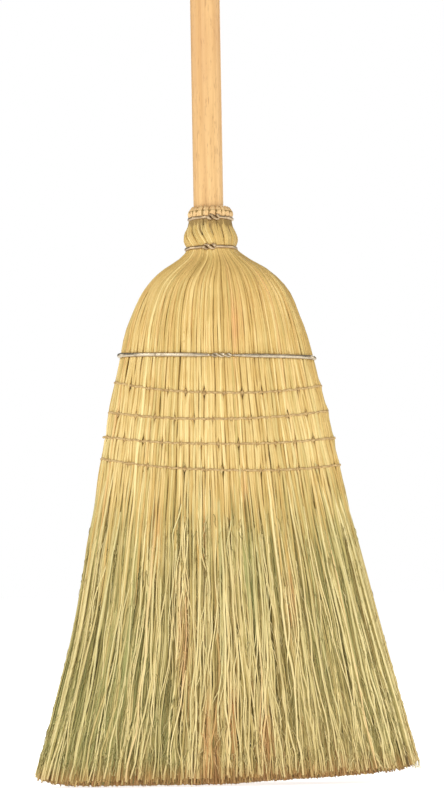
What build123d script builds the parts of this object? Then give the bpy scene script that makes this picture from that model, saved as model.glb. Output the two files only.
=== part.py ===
"""A flat corn broom: a wooden handle with layers of broomcorn wired round its lower end.

The broom stands upright on its cut straw ends. +Z is up, X runs across the sweep and -Y is
the front. The origin is the middle of the cut face, on the handle's axis. Sizes are in
millimetres.
"""

from build123d import *
import math
import os

# Handle: a turned dowel, 42 inches long, that thins towards its hidden lower end.
TOTAL_LENGTH = 1400.0
HANDLE_LENGTH = 1067.0
HANDLE_RADIUS = 12.0
HANDLE_TIP_RADIUS = 8.5
HANDLE_TIP_CHAMFER = 1.5
HANDLE_END_ROUND = 9.0
HANDLE_BOTTOM_Z = TOTAL_LENGTH - HANDLE_LENGTH

# Head: heights of the features that set its outline.
BAND_Z = 341.0
NECK_WIRE_Z = 428.0
COLLAR_WIRE_Z = 452.0
COLLAR_TOP_Z = 461.0
TAPER_START_Z = COLLAR_TOP_Z + 2.0

# Head: half widths of the outline, and the radii of its round neck and collar.
SWEEP_HALF_WIDTH = 154.5
BAND_HALF_WIDTH = 77.0
NECK_RADIUS = 20.6
COLLAR_WAIST_RADIUS = 17.8
NECK_SECTIONS = (
    (NECK_WIRE_Z, NECK_RADIUS),
    (437.0, 22.0),
    (447.0, 19.2),
    (COLLAR_WIRE_Z, COLLAR_WAIST_RADIUS),
    (457.5, 18.6),
    (COLLAR_TOP_Z, 14.5),
)

# Height and half depth of the head at the sections below the neck, cut face first: thin
# where the stitching pulls it flat, fat in the dome over the handle's end.
BODY_SECTIONS = (
    (0.0, 28.0),
    (130.0, 22.5),
    (235.0, 20.5),
    (328.0, 20.5),
    (BAND_Z, 22.0),
    (362.0, 25.5),
    (384.0, 27.0),
    (402.0, 26.5),
    (415.0, 24.0),
)

# Layers of corn, from the outside in. Each layer's stalks are trimmed at its own height.
COVER_THICKNESS = 5.0
SHOULDER_TOP_Z = 441.0
SHOULDER_NECK_RADIUS = 17.0
CORE_SPREAD_Z = 402.0
CORE_NECK_Z = 420.0
CORE_TOP_Z = 434.0
CORE_NECK_RADIUS = 14.2
CORE_WIDTH_SHARE = 0.42
CORE_DEPTH_SHARE = 0.78

# Wires: two ties at the neck, one band below the dome, and two hidden windings.
TIE_RADIUS = 0.9
BAND_RADIUS = 1.5
WINDING_RADIUS = 0.6
WINDING_PITCH = 1.4
WINDING_TURNS = 4
CORE_WINDING_Z = 425.0
SHOULDER_WINDING_Z = 432.5
TWIST_TURNS = 2
TWIST_GAP = 0.05
TWIST_LAP = 1.0
TIE_TWIST_LENGTH = 9.5
BAND_TWIST_LENGTH = 14.0

# Tack that holds the start of the winding wire on the handle.
TACK_Z = 445.0
TACK_SHANK_RADIUS = 0.8
TACK_SHANK_LENGTH = 8.0
TACK_HOLE_DEPTH = 9.0
TACK_HEAD_RADIUS = 2.2
TACK_HEAD_THICKNESS = 0.8

# Stitching: four rows of twine, each a band round the head with lock stitches over it.
ROW_HEIGHTS = (316.0, 293.5, 271.5, 252.5)
ROW_SHIFTS = (5.0, -5.0, 0.0, 2.0)
TWINE_RADIUS = 0.8
STITCH_SPACING = 15.0
STITCH_EDGE_MARGIN = 9.0
STITCH_PROUD = 1.2
STITCH_LENGTH = 5.0
STITCH_THROUGH_RADIUS = 0.6


def dome_share(rise):
    """How much of the way from neck to band the outline has widened, rise 0 at the band."""
    return 1 - 0.35 * rise - 0.65 * rise**3.5


def half_width(z):
    """Half the head's width: a straight flare up to the band, then the dome to the neck."""
    if z <= BAND_Z:
        share = (BAND_Z - z) / BAND_Z
        return BAND_HALF_WIDTH + (SWEEP_HALF_WIDTH - BAND_HALF_WIDTH) * share
    rise = (z - BAND_Z) / (NECK_WIRE_Z - BAND_Z)
    return NECK_RADIUS + (BAND_HALF_WIDTH - NECK_RADIUS) * dome_share(rise)


def half_depth(z):
    """Half the head's depth below the neck, straight between its sections."""
    for (low, low_depth), (high, high_depth) in zip(BODY_SECTIONS, BODY_SECTIONS[1:]):
        if z <= high:
            return low_depth + (high_depth - low_depth) * (z - low) / (high - low)
    return NECK_RADIUS


def handle_radius(z):
    """The handle's radius inside the head, where it tapers towards its lower end."""
    share = (TAPER_START_Z - z) / (TAPER_START_Z - HANDLE_BOTTOM_Z)
    return HANDLE_RADIUS + (HANDLE_TIP_RADIUS - HANDLE_RADIUS) * share


def loft_ellipses(sections):
    """A solid through ellipses, each section being its height, half width and half depth."""
    with BuildPart() as lofted:
        for z, across, deep in sections:
            with BuildSketch(Plane.XY.offset(z)):
                Ellipse(across, deep)
        loft(ruled=True)
    return lofted.part


# ---------------------------------------------------------------- handle and tack
with BuildPart() as handle:
    with BuildSketch(Plane.XZ):
        with BuildLine():
            Polyline(
                (0, HANDLE_BOTTOM_Z),
                (HANDLE_TIP_RADIUS, HANDLE_BOTTOM_Z),
                (HANDLE_RADIUS, TAPER_START_Z),
                (HANDLE_RADIUS, TOTAL_LENGTH),
                (0, TOTAL_LENGTH),
                close=True,
            )
        make_face()
    revolve(axis=Axis.Z)
    fillet(handle.edges().group_by(Axis.Z)[-1], HANDLE_END_ROUND)
    chamfer(handle.edges().group_by(Axis.Z)[0], HANDLE_TIP_CHAMFER)
    with Locations(Location((0, -handle_radius(TACK_Z), TACK_Z), (90, 0, 0))):
        Hole(TACK_SHANK_RADIUS, depth=TACK_HOLE_DEPTH)

with BuildPart() as anchor_tack:
    with BuildSketch(Plane.XZ.offset(handle_radius(TACK_Z))):
        with Locations((0, TACK_Z)):
            Circle(TACK_HEAD_RADIUS)
    extrude(amount=TACK_HEAD_THICKNESS)
    with BuildSketch(Plane.XZ.offset(handle_radius(TACK_Z))):
        with Locations((0, TACK_Z)):
            Circle(TACK_SHANK_RADIUS)
    extrude(amount=-TACK_SHANK_LENGTH)

# ---------------------------------------------------------------- layers of corn
outer_sections = [(z, half_width(z), depth) for z, depth in BODY_SECTIONS]
outer_sections += [(z, radius, radius) for z, radius in NECK_SECTIONS]
shoulder_sections = [
    (z, half_width(z) - COVER_THICKNESS, depth - COVER_THICKNESS)
    for z, depth in BODY_SECTIONS
]
shoulder_sections += [
    (z, SHOULDER_NECK_RADIUS, SHOULDER_NECK_RADIUS)
    for z in (NECK_WIRE_Z, SHOULDER_TOP_Z)
]
core_sections = [
    (z, CORE_WIDTH_SHARE * across, CORE_DEPTH_SHARE * deep)
    for z, across, deep in shoulder_sections
    if z <= CORE_SPREAD_Z
]
core_sections += [
    (z, CORE_NECK_RADIUS, CORE_NECK_RADIUS) for z in (CORE_NECK_Z, CORE_TOP_Z)
]
outer_envelope = loft_ellipses(outer_sections)
shoulder_envelope = loft_ellipses(shoulder_sections)
core_envelope = loft_ellipses(core_sections)

with BuildPart() as core_corn:
    add(core_envelope)
    add(handle.part, mode=Mode.SUBTRACT)

with BuildPart() as shoulder_corn:
    add(shoulder_envelope)
    add(core_envelope, mode=Mode.SUBTRACT)
    add(handle.part, mode=Mode.SUBTRACT)

with BuildPart() as shoulder_corn_left:
    add(shoulder_corn.part)
    split(bisect_by=Plane.YZ, keep=Keep.BOTTOM)

with BuildPart() as shoulder_corn_right:
    add(shoulder_corn.part)
    split(bisect_by=Plane.YZ, keep=Keep.TOP)

with BuildPart() as cover_corn:
    add(outer_envelope)
    add(shoulder_envelope, mode=Mode.SUBTRACT)
    add(handle.part, mode=Mode.SUBTRACT)

with BuildPart() as cover_corn_front:
    add(cover_corn.part)
    split(bisect_by=Plane.XZ, keep=Keep.TOP)

with BuildPart() as cover_corn_back:
    add(cover_corn.part)
    split(bisect_by=Plane.XZ, keep=Keep.BOTTOM)


# ---------------------------------------------------------------- wires
def winding(bottom_z, layer_radius):
    """A few close turns of thin wire round the neck of a layer of corn."""
    height = WINDING_PITCH * WINDING_TURNS
    with BuildPart() as coil:
        with BuildLine() as path:
            Helix(WINDING_PITCH, height, layer_radius + WINDING_RADIUS, (0, 0, bottom_z))
        with BuildSketch(Plane(origin=path.line @ 0, z_dir=path.line % 0)):
            Circle(WINDING_RADIUS)
        sweep(is_frenet=True)
    return coil.part


def twisted_strand(wire_radius, length):
    """One of the two wire ends of a twist, wound round the Z axis from the origin up."""
    with BuildPart() as strand:
        with BuildLine() as path:
            Helix(length / TWIST_TURNS, length, wire_radius + TWIST_GAP)
        with BuildSketch(Plane(origin=path.line @ 0, z_dir=path.line % 0)):
            Circle(wire_radius)
        sweep(is_frenet=True)
    return strand.part


def closed_wire(z, across, deep, wire_radius, twist_length):
    """A wire bent round the head at z, its two ends twisted together at the front."""
    strand = twisted_strand(wire_radius, twist_length)
    front = -90
    opening = math.degrees(math.asin((twist_length / 2 - TWIST_LAP) / across))
    around = 360 - 2 * opening
    with BuildPart() as wire:
        with BuildLine() as path:
            EllipticalCenterArc((0, 0, z), across, deep, front + opening, arc_size=around)
        with BuildSketch(Plane(origin=path.line @ 0, z_dir=path.line % 0)):
            Circle(wire_radius)
        sweep()
        for turn in (0, 180):
            with Locations(Location((-twist_length / 2, -deep, z), (0, 90, turn))):
                add(strand)
    return wire.part


core_winding_wire = winding(CORE_WINDING_Z, CORE_NECK_RADIUS)
shoulder_winding_wire = winding(SHOULDER_WINDING_Z, SHOULDER_NECK_RADIUS)
neck_wire_upper = closed_wire(
    COLLAR_WIRE_Z, COLLAR_WAIST_RADIUS, COLLAR_WAIST_RADIUS, TIE_RADIUS, TIE_TWIST_LENGTH
)
neck_wire_lower = closed_wire(
    NECK_WIRE_Z, NECK_RADIUS, NECK_RADIUS, TIE_RADIUS, TIE_TWIST_LENGTH
)
band_wire = closed_wire(
    BAND_Z, half_width(BAND_Z) + BAND_RADIUS, half_depth(BAND_Z), BAND_RADIUS, BAND_TWIST_LENGTH
)


# ---------------------------------------------------------------- stitching
def band_twine(z):
    """The twine that runs round the head along one row, half sunk into the corn."""
    with BuildPart() as twine:
        with BuildLine() as path:
            EllipticalCenterArc((0, 0, z), half_width(z), half_depth(z), 0, arc_size=180)
        with BuildSketch(Plane(origin=path.line @ 0, z_dir=path.line % 0)):
            Circle(TWINE_RADIUS)
        sweep()
        mirror(about=Plane.XZ)
    return twine.part


def stitch_places(z, shift):
    """The places across the head where one row's stitches go through."""
    reach = half_width(z) - STITCH_EDGE_MARGIN
    count = math.ceil(reach / STITCH_SPACING) + 1
    places = [shift + STITCH_SPACING * k for k in range(-count, count + 1)]
    return [x for x in places if abs(x) < reach]


def lock_stitches(z, shift):
    """One row of stitches, each through the head and over the band twine at both faces."""
    with BuildPart() as stitches:
        for x in stitch_places(z, shift):
            surface = half_depth(z) * math.sqrt(1 - (x / half_width(z)) ** 2)
            face = surface + STITCH_PROUD
            with Locations(Location((x, 0, z), (90, 0, 0))):
                Cylinder(STITCH_THROUGH_RADIUS, 2 * face)
            with Locations((x, -face, z), (x, face, z)):
                Cylinder(TWINE_RADIUS, STITCH_LENGTH)
    return stitches.part


# ---------------------------------------------------------------- finished pieces
pieces = {
    "handle": handle.part,
    "anchor_tack": anchor_tack.part,
    "core_corn": core_corn.part,
    "shoulder_corn_left": shoulder_corn_left.part,
    "shoulder_corn_right": shoulder_corn_right.part,
    "cover_corn_front": cover_corn_front.part,
    "cover_corn_back": cover_corn_back.part,
    "core_winding_wire": core_winding_wire,
    "shoulder_winding_wire": shoulder_winding_wire,
    "neck_wire_upper": neck_wire_upper,
    "neck_wire_lower": neck_wire_lower,
    "band_wire": band_wire,
}
for row, (row_z, row_shift) in enumerate(zip(ROW_HEIGHTS, ROW_SHIFTS), start=1):
    pieces[f"stitch_band_{row}"] = band_twine(row_z)
    pieces[f"lock_stitches_{row}"] = lock_stitches(row_z, row_shift)

os.makedirs("parts", exist_ok=True)
for name, piece in pieces.items():
    piece.label = name
    export_step(piece, f"parts/{name}.step")
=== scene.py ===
"""A flat corn broom: beech handle, wired neck, banded and stitched head of broomcorn.

Everything is in metres. Z runs up the handle, X across the head, and -Y is the front. The
straw is made stalk by stalk: each is a thin tube whose route fans out from the neck.
"""

import logging
import math
from dataclasses import dataclass
from enum import Enum
from functools import cached_property

import bpy
import numpy as np
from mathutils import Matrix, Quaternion, Vector


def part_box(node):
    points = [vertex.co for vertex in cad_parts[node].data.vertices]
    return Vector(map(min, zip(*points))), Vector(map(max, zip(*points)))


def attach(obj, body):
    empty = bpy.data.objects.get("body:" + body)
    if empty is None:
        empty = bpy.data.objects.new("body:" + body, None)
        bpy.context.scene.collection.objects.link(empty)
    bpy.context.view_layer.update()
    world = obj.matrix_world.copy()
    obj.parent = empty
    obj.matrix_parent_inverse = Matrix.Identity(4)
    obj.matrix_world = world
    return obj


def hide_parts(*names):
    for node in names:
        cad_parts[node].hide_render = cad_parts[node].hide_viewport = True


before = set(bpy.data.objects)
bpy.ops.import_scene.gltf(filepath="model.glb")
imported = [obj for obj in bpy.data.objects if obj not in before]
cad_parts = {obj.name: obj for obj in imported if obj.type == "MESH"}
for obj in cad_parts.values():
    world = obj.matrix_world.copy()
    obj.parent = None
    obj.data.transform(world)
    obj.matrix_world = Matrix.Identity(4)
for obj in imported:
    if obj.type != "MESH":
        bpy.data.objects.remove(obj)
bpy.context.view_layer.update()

Array = np.ndarray
Colour = tuple[float, float, float]
Place = tuple[float, float, float]
Value = float | bpy.types.NodeSocket
MM = 0.001
ROOT = "root"
log = logging.getLogger("broom")


class Part(Enum):
    """A part of the head: its label, and the shares of the girth that it runs between.

    Shares start at the middle of the back and run by the left edge, so 0.5 is the middle of
    the front.
    """

    FRONT = ("front", 0.25, 0.75)
    BACK = ("back", 0.75, 1.25)
    LEFT = ("left", 0.0, 0.5)
    RIGHT = ("right", 0.5, 1.0)

    def __init__(self, label: str, low: float, high: float) -> None:
        """Names the part's label and its lowest and highest share of the girth."""
        self.label, self.low, self.high = label, low, high


FACES = (Part.FRONT, Part.BACK)
SHOULDERS = (Part.LEFT, Part.RIGHT)


# ------------------------------------------------------------------ meshes
def unit(vectors: Array) -> Array:
    """The vectors, each divided by its own length."""
    return vectors / np.maximum(np.linalg.norm(vectors, axis=-1, keepdims=True), 1e-12)


def wall(index: Array, beside: Array) -> Array:
    """Quads between lines of points and the lines beside them, along the last axis but one."""
    corners = [index[..., :-1, :], index[..., 1:, :], beside[..., 1:, :], beside[..., :-1, :]]
    return np.stack(corners, axis=-1).reshape(-1, 4)


@dataclass
class Tubes:
    """A batch of round tubes, one for each centre line.

    Attributes:
        lines: Centre lines, shaped (tubes, stations, 3).
        radii: Radius at each station, shaped (tubes, stations).
        sides: How many flat sides make a tube round.
        across: A direction that no centre line runs along, which starts each ring.
        closed: True where every line is a loop.
        lobes: How many plies show in the section, 0 for a plain round one.
        lobe_depth: How far the plies stand out, as a share of the radius.
        lay: Length over which a ply goes once round, in metres.
    """

    lines: Array
    radii: Array
    sides: int = 5
    across: tuple[float, float, float] = (0.0, 1.0, 0.0)
    closed: bool = False
    lobes: int = 0
    lobe_depth: float = 0.0
    lay: float = 0.006

    def points(self) -> Array:
        """Ring points, shaped (tubes, stations, sides, 3).

        A point is the centre line plus the radius times (cosine of the turn along the first
        normal, plus sine along the second), where the first normal is the tangent crossed
        with the fixed direction. With plies, the radius also swells by the cosine of the
        turn times the number of plies, less the twist laid in so far.

        Returns:
            The points in metres.
        """
        if self.closed:
            step = np.roll(self.lines, -1, axis=1) - np.roll(self.lines, 1, axis=1)
        else:
            step = np.gradient(self.lines, axis=1)
        tangent = unit(step)
        first = unit(np.cross(tangent, np.asarray(self.across)))
        second = np.cross(tangent, first)
        turn = np.linspace(0, 2 * np.pi, self.sides, endpoint=False)
        radii = self.radii[..., None] * np.ones(self.sides)
        if self.lobes:
            run = np.linalg.norm(np.diff(self.lines, axis=1, prepend=self.lines[:, :1]), axis=-1)
            twist = 2 * np.pi * np.cumsum(run, axis=1) / self.lay
            swell = np.cos(self.lobes * turn - twist[..., None])
            radii = radii * (1 + self.lobe_depth * swell)
        ring = (
            np.cos(turn)[:, None] * first[:, :, None, :]
            + np.sin(turn)[:, None] * second[:, :, None, :]
        )
        return self.lines[:, :, None, :] + radii[..., None] * ring

    def faces(self) -> tuple[Array, Array]:
        """Wall quads and end caps.

        Returns:
            Two index arrays: (walls, 4) and (caps, sides).
        """
        tubes, stations = self.radii.shape
        index = np.arange(tubes * stations * self.sides).reshape(tubes, stations, self.sides)
        beside = np.roll(index, -1, axis=2)
        if self.closed:
            below, below_beside = np.roll(index, -1, axis=1), np.roll(beside, -1, axis=1)
            quads = np.stack([index, below, below_beside, beside], axis=-1)
            return quads.reshape(-1, 4), np.empty((0, self.sides), int)
        caps = np.concatenate([index[:, 0], index[:, -1, ::-1]])
        return wall(index, beside), caps


def fill_mesh(name: str, points: Array, face_groups: list[Array]) -> bpy.types.Object:
    """An object from points and faces, smooth shaded, with faces turned outwards.

    Args:
        name: The piece's name.
        points: Vertices, shaped (vertices, 3).
        face_groups: Index arrays, each shaped (faces, corners).

    Returns:
        The new object, linked to the scene.
    """
    groups = [g for g in face_groups if len(g)]
    corners = np.concatenate([g.ravel() for g in groups]).astype(np.int32)
    counts = np.concatenate([np.full(len(g), g.shape[1]) for g in groups])
    starts = np.concatenate([[0], np.cumsum(counts)[:-1]]).astype(np.int32)
    mesh = bpy.data.meshes.new(name)
    mesh.vertices.add(len(points))
    mesh.vertices.foreach_set("co", points.astype(np.float32).ravel())
    mesh.loops.add(len(corners))
    mesh.loops.foreach_set("vertex_index", corners)
    mesh.polygons.add(len(counts))
    mesh.polygons.foreach_set("loop_start", starts)
    mesh.polygons.foreach_set("use_smooth", np.ones(len(counts), bool))
    mesh.update(calc_edges=True)
    mesh.validate()
    piece = bpy.data.objects.new(name, mesh)
    bpy.context.scene.collection.objects.link(piece)
    return piece


def paint_straw(piece: bpy.types.Object, values: Array) -> None:
    """Writes the "straw" attribute that the straw's material reads, 4 values a vertex."""
    attribute = piece.data.attributes.new("straw", "FLOAT_COLOR", "POINT")
    attribute.data.foreach_set("color", values.astype(np.float32).ravel())


def tube_piece(name: str, tubes: Tubes, straw: Array | None = None) -> bpy.types.Object:
    """A batch of tubes as one object.

    Args:
        name: The piece's name.
        tubes: The tubes to mesh.
        straw: Values for the "straw" attribute at each station, shaped (tubes, stations, 4):
            shade, hue, how far the cut end shows, and 1.

    Returns:
        The new object.
    """
    piece = fill_mesh(name, tubes.points().reshape(-1, 3), list(tubes.faces()))
    if straw is not None:
        paint_straw(piece, np.repeat(straw[:, :, None, :], tubes.sides, axis=2))
    return piece


def keep(
    piece: bpy.types.Object, finish: bpy.types.Material, slot: str, *nodes: str
) -> bpy.types.Object:
    """Dresses a piece, rides it on the broom and hides the nodes that it stands for.

    Args:
        piece: The piece.
        finish: Its material.
        slot: The record's material slot; not used.
        nodes: The nodes that it stands for.

    Returns:
        The same piece.
    """
    piece.data.materials.append(finish)
    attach(piece, ROOT)
    if nodes:
        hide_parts(*nodes)
    log.info("%s: %d faces", piece.name, len(piece.data.polygons))
    return piece


# ------------------------------------------------------------------ the head's shape
# How finely the turn round the head is worked out: heights, steps round, and shares kept.
TURN_LEVELS = 160
TURN_STEPS = 1441
TURN_SHARES = 513


def signed_power(values: Array, power: Array) -> Array:
    """Each value's size raised to a power, with its sign kept."""
    return np.sign(values) * np.abs(values) ** power


def smooth_step(values: Array, low: float, high: float) -> Array:
    """0 below low, 1 above high, and 3t^2 - 2t^3 between them."""
    share = np.clip((values - low) / (high - low), 0, 1)
    return share * share * (3 - 2 * share)


def half_sizes(node: str) -> tuple[float, float, float]:
    """A node's half width, half depth and middle height, from its box in the frame."""
    low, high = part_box(node)
    return (high.x - low.x) / 2, (high.y - low.y) / 2, (high.z + low.z) / 2


@dataclass(frozen=True)
class Row:
    """One sewn row. It hangs lower in the middle of the head than at the edges.

    Attributes:
        height: Mean height, from the frame.
        droop: How far the middle is below the mean.
        rise: How far the edges are above the mean.
        tilt: How much higher the right edge is than the mean of both edges.
        shift: Where the stitches start, from the middle of the head.
        flat: Power of the share of the half width that mixes middle and edges.
    """

    height: float
    droop: float
    rise: float
    tilt: float
    shift: float
    flat: float = 2.4

    def at(self, share: Array) -> Array:
        """The row's height: middle and edges mixed by a power of the share, then tilted.

        Args:
            share: Shares of the half width, from -1 at the left edge to 1.

        Returns:
            Heights of the same shape.
        """
        share = np.clip(share, -1, 1)
        edge = np.abs(share) ** self.flat
        return self.height + self.rise * edge - self.droop * (1 - edge) + self.tilt * share


@dataclass(frozen=True)
class Stitches:
    """How the rows are sewn, and how the straw gives way to them.

    Attributes:
        rows: The rows, from the top one down.
        spacing: Distance between stitches.
        margin: Bare straw between the last stitch and the edge.
        pinch: How deep the twine pulls the straw in.
        hole: How much deeper it is pulled in at a stitch.
        part: How far a stitch pushes straw aside.
        reach: Distance from a stitch, across, within which straw is pushed.
        fade: Height above or below a row within which straw is pulled or pushed.
        band: Height of the band wire, from the frame.
        band_pinch: How deep the band wire pulls the straw in.
    """

    rows: tuple[Row, ...]
    spacing: float = 0.015
    margin: float = 0.006
    pinch: float = 0.0006
    hole: float = 0.0024
    part: float = 0.0024
    reach: float = 0.0017
    fade: float = 0.0042
    band: float = 0.341
    band_pinch: float = 0.0014

    @classmethod
    def measured(cls) -> "Stitches":
        """The stitches, with their rows at the heights that the frame gives them.

        Returns:
            The stitches.
        """
        plans = (
            {"droop": 0.0048, "rise": 0.0029, "tilt": -0.0028, "shift": 0.005},
            {"droop": 0.0031, "rise": 0.0034, "tilt": -0.0009, "shift": -0.005},
            {"droop": 0.0011, "rise": 0.0047, "tilt": -0.0020, "shift": 0.0},
            {"droop": 0.0029, "rise": 0.0042, "tilt": -0.0041, "shift": 0.002},
        )
        rows = tuple(
            Row(half_sizes(f"stitch_band_{number}")[2], **plan)
            for number, plan in enumerate(plans, start=1)
        )
        return cls(rows, band=half_sizes("band_wire")[2])

    def move(self, x: Array, z: Array, half_width: Array) -> tuple[Array, Array]:
        """How the rows move a straw: sideways, and inwards.

        Near a row, by a bell curve of the height off it, straw is pulled in by the pinch, and
        by the hole too by a bell curve of the distance d to the nearest stitch. It is pushed
        aside by d times that same bell curve.

        Args:
            x: Distance from the middle of the head.
            z: Height.
            half_width: Half width of the head at that height.

        Returns:
            The sideways push and the inward pull, in metres.
        """
        push = np.zeros_like(x)
        pull = self.band_pinch * np.exp(-(((z - self.band) / self.fade) ** 2))
        for row in self.rows:
            near = np.exp(-(((z - row.at(x / half_width)) / self.fade) ** 2))
            away = np.mod(x - row.shift + self.spacing / 2, self.spacing) - self.spacing / 2
            bell = np.exp(-((away / self.reach) ** 2))
            push += near * self.part * away / self.reach * bell
            pull += near * (self.pinch + self.hole * bell)
        return push, pull


@dataclass(frozen=True)
class Head:
    """The outline of the head, and where a straw lies on it.

    The outline's points are in millimetres of the head that they are drawn for. They are
    stretched to the head's size in the frame, and smooth curves run through them.

    Attributes:
        top: Height of the collar's top.
        half_width: Half width at the cut.
        half_depth: Half depth at the cut.
        stitches: The sewn rows.
        widths: Heights and half widths, with the neck and collar above 428.
        depths: Heights and half depths, up to the neck, above which it is round.
        middles: Heights and how far the head's middle is off the handle's axis.
        drawn: Top, half width and half depth of the head that the points are drawn for.
        squareness_gain: How much squarer than an ellipse the section is at the sweep.
        squaring: Heights between which the section gets round.
        cut_low: Height of the cut on the left.
        cut_bend: x from which the cut rises to the right.
        cut_slope: Rise of the cut for each metre of x.
        corner: How far the cut's corners are rounded off.
        corner_power: Power of the share of the half width that rounds the corners.
    """

    top: float
    half_width: float
    half_depth: float
    stitches: Stitches
    widths: tuple[tuple[float, float], ...] = (
        (-10.0, 158.6), (50.0, 142.4), (114.0, 125.2), (210.0, 104.4), (341.0, 77.0),
        (370.0, 69.2), (398.0, 55.2), (410.0, 43.2), (421.0, 26.4), (428.0, 20.0),
        (434.5, 22.0), (452.0, 17.2), (456.0, 18.4), (462.0, 14.8),
    )
    depths: tuple[tuple[float, float], ...] = (
        (-10.0, 28.4), (130.0, 22.8), (235.0, 20.5), (328.0, 20.5), (341.0, 21.9),
        (362.0, 25.0), (384.0, 26.5), (402.0, 26.0), (428.0, 19.9),
    )
    middles: tuple[tuple[float, float], ...] = (
        (0.0, 8.0), (114.0, 8.7), (210.0, 6.4), (306.0, 4.6), (370.0, 4.0), (400.0, 4.3),
        (418.0, 3.6), (430.0, 1.6), (462.0, 1.5),
    )
    drawn: tuple[float, float, float] = (461.0, 154.5, 27.9)
    squareness_gain: float = 0.5
    squaring: tuple[float, float] = (0.30, 0.42)
    cut_low: float = 0.0008
    cut_bend: float = -0.004
    cut_slope: float = 0.050
    corner: float = 0.0050
    corner_power: float = 15

    @classmethod
    def measured(cls) -> "Head":
        """The head at the size that the frame gives it.

        Returns:
            The head.
        """
        low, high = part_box("cover_corn_front")
        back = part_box("cover_corn_back")[1]
        return cls(high.z, (high.x - low.x) / 2, (back.y - low.y) / 2, Stitches.measured())

    def curve(
        self, z: Array, stations: tuple[tuple[float, float], ...], scale: float
    ) -> Array:
        """A smooth curve through some points, read at some heights.

        Between two points it is a cubic in t, the share of the way from one to the other,
        that leaves each with the slope of its neighbours. With v and s the values and
        slopes at the two points, d their distance and r = 1 - t, it is
        r^2 (1 + 2t) v1 + t^2 (1 + 2r) v2 + t r d (r s1 - t s2).

        Args:
            z: Heights in metres.
            stations: Heights and values, in the outline's millimetres.
            scale: Metres for each of the outline's units.

        Returns:
            Values in metres.
        """
        heights, values = np.transpose(stations)
        heights = heights * (self.top / self.drawn[0])
        slopes = np.gradient(values, heights)
        i = np.clip(np.searchsorted(heights, z) - 1, 0, len(heights) - 2)
        gap = heights[i + 1] - heights[i]
        t = np.clip((z - heights[i]) / gap, 0, 1)
        r = 1 - t
        level = r * r * (1 + 2 * t) * values[i] + t * t * (1 + 2 * r) * values[i + 1]
        return (level + t * r * gap * (r * slopes[i] - t * slopes[i + 1])) * scale

    def wide(self, z: Array) -> Array:
        """Half width at a height."""
        return self.curve(z, self.widths, self.half_width / self.drawn[1])

    def deep(self, z: Array) -> Array:
        """Half depth at a height, which is the half width above the neck."""
        neck = self.depths + tuple(s for s in self.widths if s[0] > self.depths[-1][0])
        return self.curve(z, neck, self.half_depth / self.drawn[2])

    def middle(self, z: Array) -> Array:
        """How far the middle of the head is off the handle's axis."""
        return self.curve(z, self.middles, MM)

    def squareness(self, z: Array) -> Array:
        """Power of the section's outline: 2, an ellipse, at the neck, and more at the sweep."""
        return 2.0 + self.squareness_gain * (1 - smooth_step(z, *self.squaring))

    @cached_property
    def levels(self) -> Array:
        """Heights of the levels that turns are worked out at, past both ends of the head."""
        return np.linspace(-0.005, 1.02 * self.top, TURN_LEVELS)

    @cached_property
    def turns(self) -> Array:
        """The turn that lies at each share of the girth, for each level.

        The girth is summed up along the outline (half width times sine of the turn, half
        depth times cosine, each to the power 2 / squareness), and read backwards.

        Returns:
            Turns in radians, shaped (levels, shares), with 0 at the middle of the front.
        """
        turn = np.linspace(-np.pi, np.pi, TURN_STEPS)
        power = 2 / self.squareness(self.levels)[:, None]
        x = self.wide(self.levels)[:, None] * signed_power(np.sin(turn), power)
        y = self.deep(self.levels)[:, None] * signed_power(np.cos(turn), power)
        run = np.hypot(np.diff(x, axis=1), np.diff(y, axis=1))
        girth = np.pad(np.cumsum(run, axis=1), ((0, 0), (1, 0)))
        girth /= girth[:, -1:]
        shares = np.linspace(0, 1, TURN_SHARES)
        return np.array([np.interp(shares, row, turn) for row in girth])

    def lay(self, share: Array, z: Array, inset: Array) -> Array:
        """Where straws lie: a share of the girth, at a height, some way under the surface.

        The x is the half width less the inset, times the sine of the turn to the power
        2 / squareness, and y is minus the same with half depth and cosine. The rows of
        stitching then push it aside and inwards.

        Args:
            share: Share of the girth, any shape; whole turns are dropped.
            z: Heights of the same shape.
            inset: Depths under the surface of the same shape.

        Returns:
            Points with one more axis, of 3.
        """
        table, levels = self.turns, self.levels
        across = np.mod(share, 1.0) * (TURN_SHARES - 1)
        up = (z - levels[0]) / (levels[-1] - levels[0]) * (len(levels) - 1)
        up = np.clip(up, 0, len(levels) - 1.001)
        i, j = up.astype(int), np.minimum(across.astype(int), TURN_SHARES - 2)
        u, v = up - i, across - j
        below = table[i, j] * (1 - v) + table[i, j + 1] * v
        above = table[i + 1, j] * (1 - v) + table[i + 1, j + 1] * v
        turn = below * (1 - u) + above * u
        power = 2 / self.squareness(z)
        wide, deep = self.wide(z), self.deep(z)
        x = (wide - inset) * signed_power(np.sin(turn), power)
        push, pull = self.stitches.move(x, z, wide)
        y = -(deep - inset - pull) * signed_power(np.cos(turn), power)
        return np.stack([x + push + self.middle(z), y, z], axis=-1)

    def cut(self, x: Array) -> Array:
        """Height of the cut: level on the left, rising to the right, corners rounded."""
        rise = self.cut_slope * np.maximum(x - self.cut_bend, 0)
        return self.cut_low + rise + self.corner * np.abs(x / self.half_width) ** self.corner_power


# ------------------------------------------------------------------ straw
PLAIN_HUE = 0.5
HUE_SPREAD = 0.07
RED_STRAWS = 0.03
RED_HUE = 0.20


@dataclass(frozen=True)
class Patch:
    """A place on the front where straw is greener, redder, darker or paler than elsewhere.

    Attributes:
        x: Distance from the middle of the head.
        z: Height.
        wide: Half width of the patch.
        tall: Half height of the patch.
        hue: How far it shifts the hue: below 0 is green, above 0 is orange.
        shade: How far it shifts the shade.
    """

    x: float
    z: float
    wide: float
    tall: float
    hue: float
    shade: float = 0.0


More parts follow.
